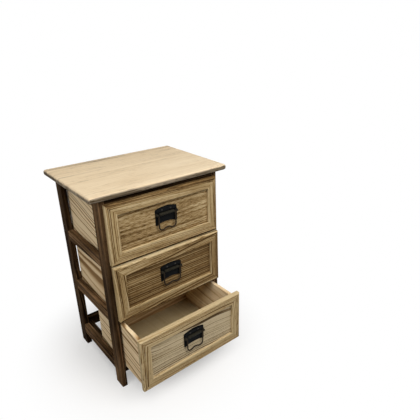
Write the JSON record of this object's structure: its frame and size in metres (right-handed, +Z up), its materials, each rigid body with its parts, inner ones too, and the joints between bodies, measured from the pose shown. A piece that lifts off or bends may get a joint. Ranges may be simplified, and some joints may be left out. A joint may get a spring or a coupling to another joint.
{
  "type": "drawer cabinet",
  "caption": "Small free-standing open-frame wooden cabinet with a bullnosed top, sliding drawers with mitred moulded fronts, and swinging drop-bail handles.",
  "frame": {"origin": "on the floor plane, under the middle of the four posts", "axes": "+X to the right as seen from the front, +Y from the front to the back, +Z up; the drawers open along -Y"},
  "size_m": [0.4, 0.3939, 0.578],
  "materials": {
    "top_wood": "clear satin on pale glued-up boards",
    "frame_wood": "dark brown stain, satin, slightly worn at the edges",
    "moulding_wood": "weathered light brown, open grain, matt",
    "panel_wood": "weathered mid brown, strong darker grain, matt",
    "box_wood": "bare pale wood, matt",
    "bottom_ply": "bare thin plywood, matt",
    "handle_iron": "black lacquer, worn to bronze at high spots",
    "screw_steel": "blackened steel"
  },
  "bodies": {
    "cabinet": {"top_panel": "top_wood", "top_screws": "screw_steel", "post_front_left": "frame_wood", "post_front_right": "frame_wood", "post_back_left": "frame_wood", "post_back_right": "frame_wood", "side_rail_top_left": "frame_wood", "side_rail_top_right": "frame_wood", "side_rail_lower_left": "frame_wood", "side_rail_lower_right": "frame_wood", "side_rail_middle_left": "frame_wood", "side_rail_middle_right": "frame_wood", "side_rail_upper_left": "frame_wood", "side_rail_upper_right": "frame_wood", "front_rail_top": "frame_wood", "front_rail_lower": "frame_wood", "front_rail_middle": "frame_wood", "front_rail_upper": "frame_wood", "back_rail_top": "frame_wood", "back_rail_lower": "frame_wood", "back_rail_middle": "frame_wood", "back_rail_upper": "frame_wood", "runners_left": "frame_wood", "runners_right": "frame_wood"},
    "lower_drawer": {"lower_stile_left": "moulding_wood", "lower_stile_right": "moulding_wood", "lower_rail_top": "moulding_wood", "lower_rail_bottom": "moulding_wood", "lower_panel": "panel_wood", "lower_side_left": "box_wood", "lower_side_right": "box_wood", "lower_back": "box_wood", "lower_bottom": "bottom_ply", "lower_backplate": "handle_iron", "lower_handle_screws": "screw_steel"},
    "lower_bail_body": {"lower_bail": "handle_iron"},
    "middle_drawer": {"middle_stile_left": "moulding_wood", "middle_stile_right": "moulding_wood", "middle_rail_top": "moulding_wood", "middle_rail_bottom": "moulding_wood", "middle_panel": "panel_wood", "middle_side_left": "box_wood", "middle_side_right": "box_wood", "middle_back": "box_wood", "middle_bottom": "bottom_ply", "middle_backplate": "handle_iron", "middle_handle_screws": "screw_steel"},
    "middle_bail_body": {"middle_bail": "handle_iron"},
    "upper_drawer": {"upper_stile_left": "moulding_wood", "upper_stile_right": "moulding_wood", "upper_rail_top": "moulding_wood", "upper_rail_bottom": "moulding_wood", "upper_panel": "panel_wood", "upper_side_left": "box_wood", "upper_side_right": "box_wood", "upper_back": "box_wood", "upper_bottom": "bottom_ply", "upper_backplate": "handle_iron", "upper_handle_screws": "screw_steel"},
    "upper_bail_body": {"upper_bail": "handle_iron"}
  },
  "joints": [
    {"name": "lower_drawer_slide", "type": "slide", "parent": "cabinet", "child": "lower_drawer", "axis": [0, -1, 0], "range_m": [-0.099, 0.071]},
    {"name": "lower_bail_swing", "type": "hinge", "parent": "lower_drawer", "child": "lower_bail_body", "pos_m": [0, -0.2495, 0.161], "axis": [-1, 0, 0], "range_deg": [0, 95]},
    {"name": "middle_drawer_slide", "type": "slide", "parent": "cabinet", "child": "middle_drawer", "axis": [0, -1, 0], "range_m": [-0.0053, 0.1647]},
    {"name": "middle_bail_swing", "type": "hinge", "parent": "middle_drawer", "child": "middle_bail_body", "pos_m": [0, -0.1558, 0.3245], "axis": [-1, 0, 0], "range_deg": [0, 95]},
    {"name": "upper_drawer_slide", "type": "slide", "parent": "cabinet", "child": "upper_drawer", "axis": [0, -1, 0], "range_m": [0, 0.17]},
    {"name": "upper_bail_swing", "type": "hinge", "parent": "upper_drawer", "child": "upper_bail_body", "pos_m": [0, -0.1505, 0.488], "axis": [-1, 0, 0], "range_deg": [0, 95]}
  ]
}
